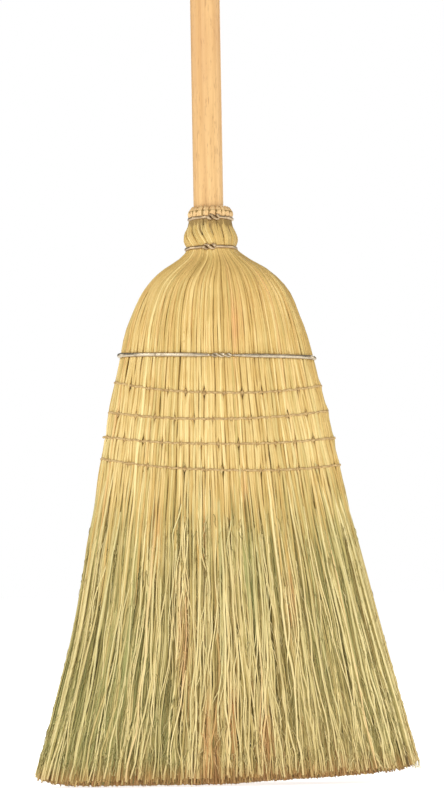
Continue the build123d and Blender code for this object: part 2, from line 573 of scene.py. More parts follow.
PATCHES = (
    Patch(-0.115, 0.045, 0.050, 0.080, -0.32),
    Patch(-0.075, 0.110, 0.025, 0.060, -0.20),
    Patch(0.085, 0.120, 0.040, 0.080, -0.20),
    Patch(0.125, 0.050, 0.025, 0.060, -0.16),
    Patch(0.021, 0.165, 0.005, 0.050, -0.40, -0.05),
    Patch(-0.045, 0.035, 0.012, 0.045, -0.20),
    Patch(-0.014, 0.030, 0.008, 0.045, 0.38),
    Patch(0.020, 0.225, 0.004, 0.025, 0.30),
    Patch(0.052, 0.150, 0.006, 0.040, 0.32),
    Patch(0.016, 0.365, 0.005, 0.022, 0.30),
    Patch(0.034, 0.385, 0.010, 0.020, 0.12),
    # Painted shade: the top of the dome just under the neck is darkened where less light reaches
    # it. The patch also makes it a little oranger.
    Patch(0.0, 0.412, 0.030, 0.014, 0.06, -0.20),
    Patch(0.0, 0.395, 0.008, 0.030, -0.10, 0.0),
    Patch(0.0, 0.270, 0.170, 0.062, -0.03, 0.20),
    Patch(0.0, 0.192, 0.300, 0.045, -0.10, -0.11),
    Patch(0.108, 0.055, 0.050, 0.060, 0.03, 0.10),
    Patch(-0.034, 0.110, 0.006, 0.050, 0.36, 0.05),
    Patch(0.004, 0.050, 0.004, 0.030, 0.46),
    Patch(0.030, 0.040, 0.006, 0.026, 0.42),
    Patch(-0.002, 0.120, 0.003, 0.060, -0.10, 0.30),
    Patch(-0.052, 0.200, 0.005, 0.030, 0.24),
)


def straw_values(
    rng: np.random.Generator, lines: Array, head: Head, shade: Array, cut: Array, take: float
) -> Array:
    """The "straw" attribute of a batch: shade, hue, cut and 1.

    Each straw has its own hue, and each patch adds its own times a bell curve of the
    distance from it. A few straws are red-streaked.

    Args:
        rng: Source of the random draws.
        lines: Centre lines, shaped (straws, stations, 3).
        head: The head's shape.
        shade: Each straw's own shade from 0, dark, to 1, pale.
        cut: How far each station shows the cut end, from 0 to 1.
        take: How strongly the straws take the patches' hues.

    Returns:
        Values shaped (straws, stations, 4).
    """
    count, stations, _ = lines.shape
    own = rng.normal(0, HUE_SPREAD, (count, 1))
    red = RED_HUE * (rng.random((count, 1)) < RED_STRAWS)
    hue = PLAIN_HUE + own + red + np.zeros((count, stations))
    shades = shade[:, None] + np.zeros((count, stations))
    x = lines[..., 0] - head.middle(lines[..., 2])
    for patch in PATCHES:
        off = ((x - patch.x) / patch.wide) ** 2 + ((lines[..., 2] - patch.z) / patch.tall) ** 2
        bell = np.exp(-off) * (0.4 + 1.2 * rng.random((count, 1)))
        hue += take * patch.hue * bell
        shades += patch.shade * bell
    cuts = np.broadcast_to(cut, (count, stations))
    return np.stack([shades, hue, cuts, np.ones_like(hue)], axis=-1).clip(0, 1)


def spaced(rng: np.random.Generator, count: int, jitter: float, part: Part) -> Array:
    """Shares of the girth spread evenly over a part, each moved by up to jitter spacings."""
    places = np.arange(count) + 0.5 + jitter * rng.uniform(-1, 1, count)
    return part.low + (part.high - part.low) * places / count


def ripple(rng: np.random.Generator, run: Array, count: int) -> Array:
    """A sine that goes once round for each 1 of the run, each straw from its own start."""
    return np.sin(2 * np.pi * (run + rng.random((count, 1))))


@dataclass
class CoverStalks:
    """The stiff outer stalks, from the cut butts at the collar to below the last sewn row.

    Attributes:
        head: The head's shape.
        count: Stalks of one layer on one face.
        seed: Start of the random draws.
        jitter: How unevenly stalks are spaced, in spacings.
        depths: Depth under the surface of each layer.
        depth_jitter: How far a stalk is off its layer's depth.
        radius: Stalk radius at the band wire.
        girths: Least and greatest radius as a share of the radius.
        shades: Mean shade of the outer layer, how much darker each layer below is painted as
            shade, and spread.
        sides: Sides of each stalk.
        spans: Heights where the stations' spacing changes, and the steps down to each.
        tips: Lowest and highest end of a stalk.
        taper: Length of the tip that gets thinner.
        tip_share: Share of the radius left at the end.
        widths: Heights, and the radius there as a share of the radius at the band wire.
        edge: Shares of the way from a bundle's middle to its gap between which it folds in.
        bundles: Bundles that the collar's butts stand in, round the whole collar.
        butt_top: Height of the butts over the collar's top, less some share of their depth.
        butt_gap: How much lower the butts end between two bundles.
        butt_uneven: How unevenly butts are cut.
        collar: Heights between which the folds between bundles grow, and their depth.
        creases: Creases round the whole knob between the two neck wires.
        knob: Height and half height of the knob, and the depth of its creases.
        lean: Height and half height of the stretch where stalks lean, and how far they do.
        lean_left: Share of the lean on the right half, and how fast it changes over.
        lean_fade: Heights below the knob between which the lean grows.
        wander: Slow sideways bend: its size in shares of the girth, and its length.
        lift: Slow bend outwards: its size and its length.
        lift_fade: Heights between which the bend outwards dies away, towards the neck.
        butt_cut: How far below the top a butt shows its cut end, fading, and how strongly.
    """

    head: Head
    count: int = 100
    seed: int = 11
    jitter: float = 0.32
    depths: tuple[float, ...] = (0.0010, 0.0023)
    depth_jitter: float = 0.0003
    radius: float = 0.00118
    girths: tuple[float, float] = (0.90, 1.16)
    shades: tuple[float, float, float] = (0.55, 0.10, 0.11)
    sides: int = 5
    spans: tuple[tuple[float, int], ...] = (
        (0.430, 15), (0.405, 8), (0.345, 8), (0.235, 37), (0.195, 4)
    )
    tips: tuple[float, float] = (0.130, 0.236)
    taper: float = 0.044
    tip_share: float = 0.28
    widths: tuple[tuple[float, float], ...] = (
        (0.13, 0.75), (0.235, 0.95), (0.26, 1.08), (0.30, 1.06), (0.341, 1.0),
        (0.40, 0.92), (0.43, 0.76), (0.452, 0.64), (0.458, 0.82),
    )
    edge: tuple[float, float] = (0.55, 1.0)
    bundles: int = 25
    butt_top: tuple[float, float] = (0.0012, 0.6)
    butt_gap: float = 0.0034
    butt_uneven: float = 0.0018
    collar: tuple[float, float, float] = (0.4535, 0.4575, 0.0042)
    creases: int = 15
    knob: tuple[float, float, float] = (0.4390, 0.0080, 0.0024)
    lean: tuple[float, float, float] = (0.4385, 0.0075, 0.042)
    lean_left: tuple[float, float] = (0.08, 0.06)
    lean_fade: tuple[float, float] = (0.395, 0.430)
    wander: tuple[float, float] = (0.0010, 0.09)
    lift: tuple[float, float] = (0.0004, 0.055)
    lift_fade: tuple[float, float] = (0.39, 0.425)
    butt_cut: tuple[float, float, float] = (-0.0125, -0.0070, 0.60)

    def folded(self, share: Array, number: int) -> Array:
        """0 inside each of a number of bundles round the head, up to 1 between them."""
        off = np.abs(np.mod(share * number + 0.25, 1.0) - 0.5) * 2
        return smooth_step(off, *self.edge)

    def levels(self) -> Array:
        """Heights of the stations of a whole stalk, closer together round neck and rows.

        Returns:
            Heights from the top down.
        """
        heights = [np.array([self.head.top])]
        for height, steps in self.spans:
            heights.append(np.linspace(heights[-1][-1], height, steps + 1)[1:])
        return np.concatenate(heights)

    def leaning(self, share: Array, z: Array) -> Array:
        """How far stalks lean over in the knob, more on the left than on the right.

        It is minus a hyperbolic tangent of the height, times one of the share that goes
        from 1 on the left to a small part on the right.

        Args:
            share: Each stalk's share of the girth, shaped (stalks, 1).
            z: Heights, shaped (stalks, stations).

        Returns:
            Shares of the girth to add, shaped (stalks, stations).
        """
        height, half, size = self.lean
        right, change = self.lean_left
        left = 0.5 - 0.5 * np.tanh((share - 0.5) / change)
        lean = -size * np.tanh((z - height) / half) * (right + (1 - right) * left)
        return lean * smooth_step(z, *self.lean_fade)

    def lines(
        self, rng: np.random.Generator, share: Array, depth: Array
    ) -> tuple[Array, Array]:
        """Centre lines and radii of one layer.

        In the knob, stalks gather in bundles with creases between, and lean over. Between
        the collar's bundles they fold in. Two slow sines bend them sideways and outwards.

        Args:
            rng: Source of the random draws.
            share: Each stalk's share of the girth.
            depth: Each stalk's depth under the surface.

        Returns:
            Lines shaped (stalks, stations, 3) and radii shaped (stalks, stations).
        """
        levels, count = self.levels(), len(share)
        gap = self.folded(share, self.bundles)
        over, slope = self.butt_top
        butt = self.head.top + over - slope * depth - self.butt_gap * gap
        butt = butt - rng.uniform(0, self.butt_uneven, count)
        tip = rng.uniform(*self.tips, count)
        t = (levels[0] - levels) / (levels[0] - levels[-1])
        z = butt[:, None] - (butt - tip)[:, None] * t
        lean = self.leaning(share[:, None], z)
        size, length = self.wander
        wander = size * ripple(rng, z / length, count)
        height, half, crease = self.knob
        in_knob = np.exp(-(((z - height) / half) ** 2))
        low, high, fold = self.collar
        folds = crease * in_knob * self.folded(share, self.creases)[:, None]
        folds = folds + fold * smooth_step(z, low, high) * gap[:, None]
        size, length = self.lift
        lift = size * ripple(rng, z / length, count) * (1 - smooth_step(z, *self.lift_fade))
        inset = depth[:, None] + folds + lift
        line = self.head.lay(share[:, None] + lean + wander, z, inset)
        width = np.interp(z, *np.transpose(self.widths))
        tapered = smooth_step(z - tip[:, None], 0.0, self.taper)
        width = width * (self.tip_share + (1 - self.tip_share) * tapered)
        return line, self.radius * width * rng.uniform(*self.girths, (count, 1))

    def build(self, face: Part, finish: bpy.types.Material) -> bpy.types.Object:
        """Makes and dresses the stalks of one face.

        Args:
            face: Which face they lie on.
            finish: Their material.

        Returns:
            The new piece.
        """
        rng = np.random.default_rng(self.seed + FACES.index(face))
        mean, loss, spread = self.shades
        lines, radii, shades = [], [], []
        for number, depth in enumerate(self.depths):
            share = spaced(rng, self.count, self.jitter, face)
            off = rng.uniform(-self.depth_jitter, self.depth_jitter, len(share))
            line, radius = self.lines(rng, share, depth + off)
            lines.append(line)
            radii.append(radius)
            # Each layer below the outer one is darker by the loss: painted shade under the outer
            # stalks.
            shades.append(rng.normal(mean - loss * number, spread, len(share)))
        line, radius = np.concatenate(lines), np.concatenate(radii)
        low, high, strength = self.butt_cut
        cut = strength * smooth_step(line[..., 2] - line[:, :1, 2], low, high)
        values = straw_values(rng, line, self.head, np.concatenate(shades), cut, 1.0)
        tubes = Tubes(line, radius, self.sides)
        piece = tube_piece(f"cover_stalks_{face.label}", tubes, values)
        return keep(piece, finish, "cover_corn", f"cover_corn_{face.label}")


@dataclass(frozen=True)
class Wave:
    """A sideways bend of the fibres.

    Attributes:
        length: Length of one wave.
        size: How far it bends.
        shared: True where all fibres of a clump bend together.
    """

    length: float
    size: float
    shared: bool


WAVES = (Wave(0.17, 0.0019, True), Wave(0.080, 0.0009, False), Wave(0.036, 0.00042, False))
FIBRE_LENGTH = 0.25


@dataclass
class FibreLayer:
    """Fine fibres that the stalks branch into, down to the cut.

    Attributes:
        head: The head's shape.
        name: Start of the pieces' names.
        seed: Start of the random draws.
        clumps: Stalks in one part that the fibres branch from.
        each: Fibres from one stalk.
        tops: Lowest and highest start of a fibre.
        depths: Least and greatest depth under the surface.
        radii: Fibre radius where it branches off, and at the cut.
        shades: Mean shade, and its spread between clumps and between fibres.
        spread: How far a fibre strays from its clump by the cut, in clump spacings.
        jitter: How unevenly clumps are spaced, in spacings.
        clump: Spread of a clump's fibres at the top, in spacings.
        clump_stray: How far a whole clump strays, against 1 for a fibre.
        buried: How much deeper a fibre starts, and the length over which it comes up.
        bulge: How far a fibre bends in or out halfway.
        wave: Size of the fibres' waves, 1 for lightly wavy.
        bevel: How much higher than the cut the outermost fibres end.
        ragged: How unevenly clumps are cut, and fibres within them.
        held: Shares of the half width between which waves die away at the outline, and how
            far they do.
        browned: How brown the cut ends are, from 0 to 1.
        take: How strongly the fibres take the patches' hues.
        pieces: Pieces that a part's fibres are made in.
        stations: Stations along a fibre.
        sides: Sides of each fibre.
    """

    head: Head
    name: str
    seed: int
    clumps: int
    each: int
    tops: tuple[float, float]
    depths: tuple[float, float]
    radii: tuple[float, float]
    shades: tuple[float, float, float]
    spread: float
    jitter: float = 0.45
    clump: float = 0.22
    clump_stray: float = 0.55
    buried: tuple[float, float] = (0.0016, 0.022)
    bulge: float = 0.0008
    wave: float = 1.0
    bevel: float = 0.0050
    ragged: tuple[float, float] = (0.0024, 0.0014)
    held: tuple[float, float, float] = (0.80, 0.99, 0.85)
    browned: float = 0.30
    take: float = 1.0
    pieces: int = 1
    stations: int = 16
    sides: int = 4

    def waves(self, rng: np.random.Generator, count: int, t: Array) -> Array:
        """Sideways bends: three sines whose size grows down the fibre.

        The longest is shared by a clump. The others are each fibre's own.

        Args:
            rng: Source of the random draws.
            count: Number of clumps.
            t: Share of the way down at each station.

        Returns:
            Bends shaped (fibres, stations), in metres.
        """
        grown = 0.10 + 0.90 * t**1.3
        total = 0.0
        for wave in WAVES:
            rows = count if wave.shared else count * self.each
            length = wave.length * rng.uniform(0.75, 1.3, (rows, 1))
            bend = wave.size * ripple(rng, FIBRE_LENGTH * t / length, rows)
            bend = bend * rng.uniform(0.2, 1.3, (rows, 1))
            total = total + (np.repeat(bend, self.each, axis=0) if wave.shared else bend)
        return self.wave * total * grown

    def ends(self, rng: np.random.Generator, share: Array, depth: Array) -> Array:
        """Where fibres end: at the cut, and higher for those near the surface.

        The bevel is full near the surface and in the middle of the head, and less at its
        sides. A clump ends a little higher by its own draw, and a fibre by another.

        Args:
            rng: Source of the random draws.
            share: Each fibre's share of the girth at the cut.
            depth: Each fibre's depth under the surface.

        Returns:
            Heights of the ends.
        """
        foot = self.head.lay(share, np.zeros_like(share), depth)
        x = foot[..., 0] - self.head.middle(np.zeros(1))
        outer = 1 - smooth_step(depth, 0.0022, 0.0050)
        bevel = self.bevel * outer * rng.uniform(0.55, 1.15, len(share))
        central = 1 - 0.55 * smooth_step(np.abs(x), 0.09, 0.15)
        ragged = np.repeat(rng.uniform(0, self.ragged[0], self.clumps), self.each)
        ragged = ragged + rng.uniform(0, self.ragged[1], len(share))
        return self.head.cut(x) + bevel * central + ragged

    def lines(self, rng: np.random.Generator, part: Part) -> tuple[Array, Array, Array]:
        """Centre lines, radii and shades of all of a part's fibres.

        A fibre starts under its stalk and comes up to its own depth. Its share of the girth
        moves by its clump's draw and its own, times a power of the way down.

        Args:
            rng: Source of the random draws.
            part: Which part of the head.

        Returns:
            Lines shaped (fibres, stations, 3), radii shaped (fibres, stations), and shades.
        """
        pitch = (part.high - part.low) / self.clumps
        centre = spaced(rng, self.clumps, self.jitter, part)
        clump = np.repeat(np.arange(self.clumps), self.each)
        count = len(clump)
        t = np.linspace(0, 1, self.stations)
        share = centre[clump] + self.clump * pitch * rng.normal(0, 1, count)
        stray = self.clump_stray * rng.normal(0, 1, self.clumps)[clump]
        stray = stray + rng.normal(0, 1, count)
        drift = (self.spread * pitch * stray)[:, None] * t**0.9
        low, high = self.depths
        mixed = 0.5 * rng.random(self.clumps)[clump] + 0.5 * rng.random(count)
        depth = low + (high - low) * mixed
        top = rng.uniform(*self.tops, count)
        end = self.ends(rng, share + drift[:, -1], depth)
        z = top[:, None] - (top - end)[:, None] * t
        size, length = self.buried
        buried = size * np.exp(-(((top[:, None] - z) / length) ** 2))
        bulge = self.bulge * np.sin(np.pi * t) * rng.normal(0, 1, (count, 1))
        line = self.head.lay(share[:, None] + drift, z, depth[:, None] + buried + bulge)
        out = np.abs(line[..., 0] - self.head.middle(z)) / self.head.wide(z)
        inner, outer, loss = self.held
        free = 1 - loss * smooth_step(out, inner, outer)
        line[..., 0] += free * self.waves(rng, self.clumps, t)
        start, stop = self.radii
        radii = (start + (stop - start) * t**0.8) * rng.uniform(0.65, 1.35, (count, 1))
        mean, between, within = self.shades
        shade = mean + between * rng.normal(0, 1, self.clumps)[clump]
        return line, radii, shade + within * rng.normal(0, 1, count)

    def build(
        self, part: Part, finish: bpy.types.Material, slot: str, node: str
    ) -> list[bpy.types.Object]:
        """Makes and dresses the fibres of one part.

        Args:
            part: Which part of the head.
            finish: Their material.
            slot: The record's material slot.
            node: The node that they stand for.

        Returns:
            The new pieces.
        """
        rng = np.random.default_rng(self.seed + list(Part).index(part))
        line, radius, shade = self.lines(rng, part)
        above = line[..., 2] - line[:, -1:, 2]
        cut = self.browned * (1 - smooth_step(above, 0.0004, 0.0016))
        values = straw_values(rng, line, self.head, shade, cut, self.take)
        made = []
        for number, index in enumerate(np.array_split(np.arange(len(line)), self.pieces), 1):
            tubes = Tubes(line[index], radius[index], self.sides)
            piece = tube_piece(f"{self.name}_{part.label}_{number}", tubes, values[index])
            made.append(keep(piece, finish, slot, node))
        return made


@dataclass
class LooseStraws:
    """Odd straws that lie askew over the others, and one longer than the rest.

    Attributes:
        head: The head's shape.
        count: Straws on one face.
        seed: Start of the random draws.
        stations: Stations along a straw.
        radius: Straw radius.
        tops: Lowest and highest top of a straw.
        lengths: Shortest and longest straw.
        drifts: Least and greatest sideways drift, in shares of the girth.
        places: Mean place from the middle, its spread and its limit, in shares of the girth.
        lowest: Lowest foot of a straw.
        insets: Depth under the surface at both ends, and how far the middle stands out.
        shades: Mean shade, and its spread.
        bend: How far a straw bends sideways at its foot.
        longest: The one long straw's share of the girth, top, foot and drift.
    """

    head: Head
    count: int = 84
    seed: int = 31
    stations: int = 18
    radius: float = 0.00055
    tops: tuple[float, float] = (0.09, 0.225)
    lengths: tuple[float, float] = (0.04, 0.13)
    drifts: tuple[float, float] = (0.004, 0.020)
    places: tuple[float, float, float] = (-0.006, 0.09, 0.22)
    lowest: float = 0.010
    insets: tuple[float, float] = (0.0014, 0.0024)
    shades: tuple[float, float] = (0.92, 0.08)
    bend: float = 0.0022
    longest: tuple[float, float, float, float] = (0.457, 0.19, 0.0003, -0.004)

    def build(self, face: Part, finish: bpy.types.Material) -> bpy.types.Object:
        """Makes the straws, each from its own height down, drifting to one side.

        Args:
            face: Which face they lie on.
            finish: Their material.

        Returns:
            The new piece.
        """
        rng = np.random.default_rng(self.seed + FACES.index(face))
        centre = (face.low + face.high) / 2
        t = np.linspace(0, 1, self.stations)
        mean, spread, limit = self.places
        share = centre + np.clip(rng.normal(mean, spread, self.count), -limit, limit)
        top = rng.uniform(*self.tops, self.count)
        bottom = np.maximum(top - rng.uniform(*self.lengths, self.count), self.lowest)
        drift = rng.choice([-1, 1], self.count) * rng.uniform(*self.drifts, self.count)
        if face is Part.FRONT:
            share[0], top[0], bottom[0], drift[0] = self.longest
        z = top[:, None] - (top - bottom)[:, None] * t
        bend = self.bend * ripple(rng, 1.3 * t, self.count) * t
        inset, out = self.insets
        inset = inset - out * np.sin(np.pi * t) * rng.uniform(0.6, 1.1, (self.count, 1))
        line = self.head.lay(share[:, None] + drift[:, None] * t, z, inset)
        line[..., 0] += bend
        radii = self.radius * rng.uniform(0.7, 1.3, (self.count, 1)) * (1.1 - 0.5 * t)
        shade = rng.normal(*self.shades, self.count)
        values = straw_values(rng, line, self.head, shade, np.zeros(1), 0.4)
        piece = tube_piece(f"loose_straws_{face.label}", Tubes(line, radii, 5), values)
        return keep(piece, finish, "cover_corn", f"cover_corn_{face.label}")


@dataclass
class Fuzz:
    """Short crinkled side branches that stand between the fibres near the sweep.

    Attributes:
        head: The head's shape.
        count: Branches on one face.
        seed: Start of the random draws.
        stations: Stations along a branch.
        radius: Branch radius.
        lengths: Shortest and longest branch.
        heights: Lowest and highest top of a branch.
        lowest: Lowest foot of a branch.
        lean: Spread of the sideways lean, in shares of the girth.
        insets: Least and greatest depth under the surface.
        bulge: How far the middle of a branch stands out.
        crinkle: Size of the crinkles.
        shades: Mean shade, and its spread.
    """

    head: Head
    count: int = 2300
    seed: int = 71
    stations: int = 7
    radius: float = 0.00033
    lengths: tuple[float, float] = (0.008, 0.022)
    heights: tuple[float, float] = (0.022, 0.215)
    lowest: float = 0.010
    lean: float = 0.0060
    insets: tuple[float, float] = (0.0002, 0.0022)
    bulge: float = 0.0007
    crinkle: float = 0.00055
    shades: tuple[float, float] = (0.54, 0.26)

    def build(self, face: Part, finish: bpy.types.Material) -> bpy.types.Object:
        """Makes the branches, more of them low down, each bent by a sine of its own.

        Args:
            face: Which face they lie on.
            finish: Their material.

        Returns:
            The new piece.
        """
        rng = np.random.default_rng(self.seed + FACES.index(face))
        low, high = self.heights
        t = np.linspace(0, 1, self.stations)
        share = rng.uniform(face.low, face.high, self.count)
        top = low + (high - low) * rng.random(self.count) ** 1.5
        long = np.minimum(rng.uniform(*self.lengths, self.count), top - self.lowest)
        z = top[:, None] - long[:, None] * t
        lean = rng.normal(0, self.lean, (self.count, 1)) * t
        inset = rng.uniform(*self.insets, (self.count, 1)) - self.bulge * np.sin(np.pi * t)
        line = self.head.lay(share[:, None] + lean, z, inset)
        line[..., 0] += self.crinkle * ripple(rng, 1.6 * t, self.count)
        radii = self.radius * rng.uniform(0.6, 1.3, (self.count, 1)) * (1.1 - 0.6 * t)
        shade = rng.normal(*self.shades, self.count)
        values = straw_values(rng, line, self.head, shade, np.zeros(1), 1.0)
        piece = tube_piece(f"side_branches_{face.label}", Tubes(line, radii, 3), values)
        return keep(piece, finish, "cover_corn", f"cover_corn_{face.label}")


@dataclass
class InnerStraw:
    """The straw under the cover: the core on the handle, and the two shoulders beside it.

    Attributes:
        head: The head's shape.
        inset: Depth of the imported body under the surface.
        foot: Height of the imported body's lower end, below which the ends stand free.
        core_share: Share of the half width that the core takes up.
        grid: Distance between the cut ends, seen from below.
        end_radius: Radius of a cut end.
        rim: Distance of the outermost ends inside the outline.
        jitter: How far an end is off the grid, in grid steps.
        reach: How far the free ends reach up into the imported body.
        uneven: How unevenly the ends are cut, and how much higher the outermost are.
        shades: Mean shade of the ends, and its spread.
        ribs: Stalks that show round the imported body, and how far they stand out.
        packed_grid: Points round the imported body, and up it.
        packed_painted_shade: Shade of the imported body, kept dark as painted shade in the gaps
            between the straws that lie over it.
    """

    head: Head
    inset: float = 0.0046
    foot: float = 0.030
    core_share: float = 0.3
    grid: float = 0.0020
    end_radius: float = 0.00078
    rim: float = 0.0016
    jitter: float = 0.45
    reach: float = 0.030
    uneven: tuple[float, float] = (0.0017, 0.0018)
    shades: tuple[float, float] = (0.45, 0.38)
    ribs: tuple[int, float] = (150, 0.0004)
    packed_grid: tuple[int, int] = (360, 64)
    packed_painted_shade: float = 0.42

    def packed(self, low: float, high: float) -> tuple[Array, list[Array]]:
        """A closed body of packed straw, ribbed by stalks.

        The surface is the head's outline under the inset, with x held between two shares
        of the half width. Its ribs are a cosine of the share of the girth.

        Args:
            low: Lowest share of the half width, -1 at the left edge.
            high: Highest share of the half width.

        Returns:
            Points shaped (points, 3), and the quads and the two caps.
        """
        around, up = self.packed_grid
        stalks, height = self.ribs
        share = np.linspace(0, 1, around, endpoint=False)[:, None] * np.ones(up)
        z = np.ones(around)[:, None] * np.linspace(0.9935 * self.head.top, self.foot, up)
        ribs = height * np.cos(2 * np.pi * share * stalks)
        under_stalks = self.inset * smooth_step(-z, -0.46, -0.40)
        under_fibres = 0.0012 * smooth_step(-z, -0.24, -0.20)
        point = self.head.lay(share, z, under_stalks + ribs + under_fibres)
        middle, half = self.head.middle(z), self.head.wide(z)
        point[..., 0] = middle + np.clip(point[..., 0] - middle, low * half, high * half)
        index = np.arange(around * up).reshape(around, up)
        quads = wall(index[..., None], np.roll(index, -1, axis=0)[..., None])
        caps = np.stack([index[:, 0], index[::-1, -1]])
        return point.reshape(-1, 3), [quads, caps]

    def ends(
        self, rng: np.random.Generator, low: float, high: float
    ) -> tuple[Array, Array, Array]:
        """Centre lines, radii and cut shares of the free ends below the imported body.

        They stand on a jittered grid inside the outline, and are cut a little unevenly.

        Args:
            rng: Source of the random draws.
            low: Lowest share of the half width.
            high: Highest share of the half width.

        Returns:
            Lines shaped (ends, stations, 3), then radii and cuts shaped (ends, stations).
        """
        wide = float(self.head.wide(np.zeros(1))[0]) - self.rim
        deep = float(self.head.deep(np.zeros(1))[0]) - self.rim
        x, y = np.meshgrid(
            np.arange(-wide, wide, self.grid), np.arange(-deep, deep, self.grid)
        )
        x = x.ravel() + rng.uniform(-self.jitter, self.jitter, x.size) * self.grid
        y = y.ravel() + rng.uniform(-self.jitter, self.jitter, y.size) * self.grid
        inside = np.abs(x / wide) ** 2.5 + np.abs(y / deep) ** 2.5 < 1
        inside &= (x >= low * wide) & (x < high * wide)
        x, y = x[inside][:, None], y[inside][:, None]
        t = np.array([0.0, 0.45, 0.88, 1.0])
        outer = np.maximum(np.abs(x / wide), np.abs(y / deep)) ** 4
        uneven, higher = self.uneven
        end = self.head.cut(x) + rng.uniform(0, uneven, x.shape) + higher * outer
        top = self.foot + self.reach
        z = top - (top - end) * t
        narrow = self.head.wide(z) / self.head.wide(np.zeros(1)) * 0.985
        lean = rng.normal(0, 0.0016, (2, len(x), 1)) * t
        place_x = self.head.middle(z) + x * narrow + lean[0]
        line = np.stack([place_x, y * (0.80 + 0.20 * t) + lean[1] * 0.5, z], axis=-1)
        radii = self.end_radius * rng.uniform(0.6, 1.3, x.shape) * (1.1 - 0.2 * t)
        return line, radii, smooth_step(t, 0.45, 1.0) * rng.uniform(0.0, 1.0, x.shape)

    def build(self, finish: bpy.types.Material) -> list[bpy.types.Object]:
        """Makes and dresses the core and the two shoulders, each a body and its free ends.

        Args:
            finish: Their material.

        Returns:
            The new pieces.
        """
        share = self.core_share
        plans = (
            ("core_straw", -share, share, "core_corn", 41),
            ("shoulder_straw_left", -1.0, -share, "shoulder_corn_left", 42),
            ("shoulder_straw_right", share, 1.0, "shoulder_corn_right", 43),
        )
        pieces = []
        for name, low, high, node, seed in plans:
            rng = np.random.default_rng(seed)
            points, faces = self.packed(low, high)
            body = fill_mesh(f"{name}_packed", points, faces)
            # The packed body gets one dark plain shade: painted shade for the gaps between the
            # straws that lie over it.
            plain = [self.packed_painted_shade, PLAIN_HUE, 0.0, 1.0]
            paint_straw(body, np.tile(plain, (len(points), 1)))
            pieces.append(keep(body, finish, "inner_corn", node))
            line, radius, cut = self.ends(rng, low, high)
            shade = rng.normal(*self.shades, len(line))
            values = straw_values(rng, line, self.head, shade, cut, 0.6)
            ends = tube_piece(f"{name}_ends", Tubes(line, radius, 5), values)
            pieces.append(keep(ends, finish, "inner_corn", node))
        return pieces


# ------------------------------------------------------------------ wires
@dataclass
class TiedWire:
    """A wire bent round the head, with its two ends twisted together at the front.

    The loop's size and height come from the node's box in the frame.

    Attributes:
        node: The node that it stands for.
        slot: The record's material slot.
        twist_at: x of the middle of the twist, from the loop's middle.
        radius: Wire radius.
        squareness: Power of the loop's outline.
        middle: x of the loop's middle.
        slope: Rise for each metre of x.
        twist_length: Length of the twist.
        turns: Turns in the twist.
        thin: Share of the radius left in the twist, where pliers have drawn the wire.
        grip: Distance of each strand from the twist's axis, in wire radii.
        forward: How far the twist stands in front of the loop, in wire radii.
        points: Points along the loop, and along each strand of the twist.
        sides: Sides of the wire.
    """

    node: str
    slot: str
    twist_at: float
    radius: float = 0.00150
    squareness: float = 2.0
    middle: float = 0.0016
    slope: float = 0.0
    twist_length: float = 0.0095
    turns: float = 1.0
    thin: float = 1.0
    grip: float = 1.0
    forward: float = 0.35
    points: tuple[int, int] = (240, 56)
    sides: int = 12

    def loop(self, half_width: float, half_depth: float) -> Array:
        """The open loop, from one end of the twist round the back to the other end.

        Each point is the half width times the sine of the turn and minus the half depth
        times its cosine, both to the power 2 / squareness.

        Args:
            half_width: Half width of the loop.
            half_depth: Half depth of the loop.

        Returns:
            Points shaped (points, 3), level with the origin.
        """
        half = self.twist_length / 2
        first = math.asin((self.twist_at + half) / half_width)
        last = math.asin((self.twist_at - half) / half_width) + 2 * math.pi
        turn = np.linspace(first, last, self.points[0])
        power = 2 / self.squareness
        x = half_width * signed_power(np.sin(turn), power)
        y = -half_depth * signed_power(np.cos(turn), power)
        return np.stack([x, y, np.zeros_like(x)], axis=-1)

    def strand(self, loop: Array, phase: float) -> Array:
        """One strand of the twist: the line between the loop's ends, circled by the wire.

        The circle's turn is the number of turns times the share of the way, plus the phase.

        Args:
            loop: The open loop.
            phase: Where on the circle the strand starts: 0, or pi for the other strand.

        Returns:
            Points shaped (points, 3), from the loop's last point to its first.
        """
        t = np.linspace(0, 1, self.points[1])[:, None]
        straight = loop[-1] + (loop[0] - loop[-1]) * t
        near = t if phase else 1 - t
        out = self.radius * self.grip * smooth_step(near, -0.02, 0.10)
        around = 2 * np.pi * self.turns * t + phase
        circle = np.concatenate([0 * t, np.cos(around), np.sin(around)], axis=1)
        return straight + out * circle - np.array([0.0, self.forward * self.radius, 0.0])

    def build(self, finish: bpy.types.Material) -> bpy.types.Object:
        """Makes and dresses the wire: one strand, the loop, and the other strand.

        Args:
            finish: Its material.

        Returns:
            The new piece.
        """
        box_width, _, height = half_sizes(self.node)
        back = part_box(self.node)[1].y
        loop = self.loop(box_width - self.radius, back - self.radius)
        first, second = self.strand(loop, 0.0), self.strand(loop, math.pi)
        whole = np.concatenate([first[:-1], loop, second[1:]])
        whole[:, 2] += height + self.slope * whole[:, 0]
        whole[:, 0] += self.middle
        place = np.arange(len(whole))
        ends = np.minimum(place - len(first), len(first) + len(loop) - place)
        radii = self.radius * (self.thin + (1 - self.thin) * smooth_step(ends, 0, 8))
        tubes = Tubes(whole[None], radii[None], self.sides, (0.0, 0.0, 1.0))
        piece = tube_piece(f"{self.node}_bent", tubes)
        return keep(piece, finish, self.slot, self.node)


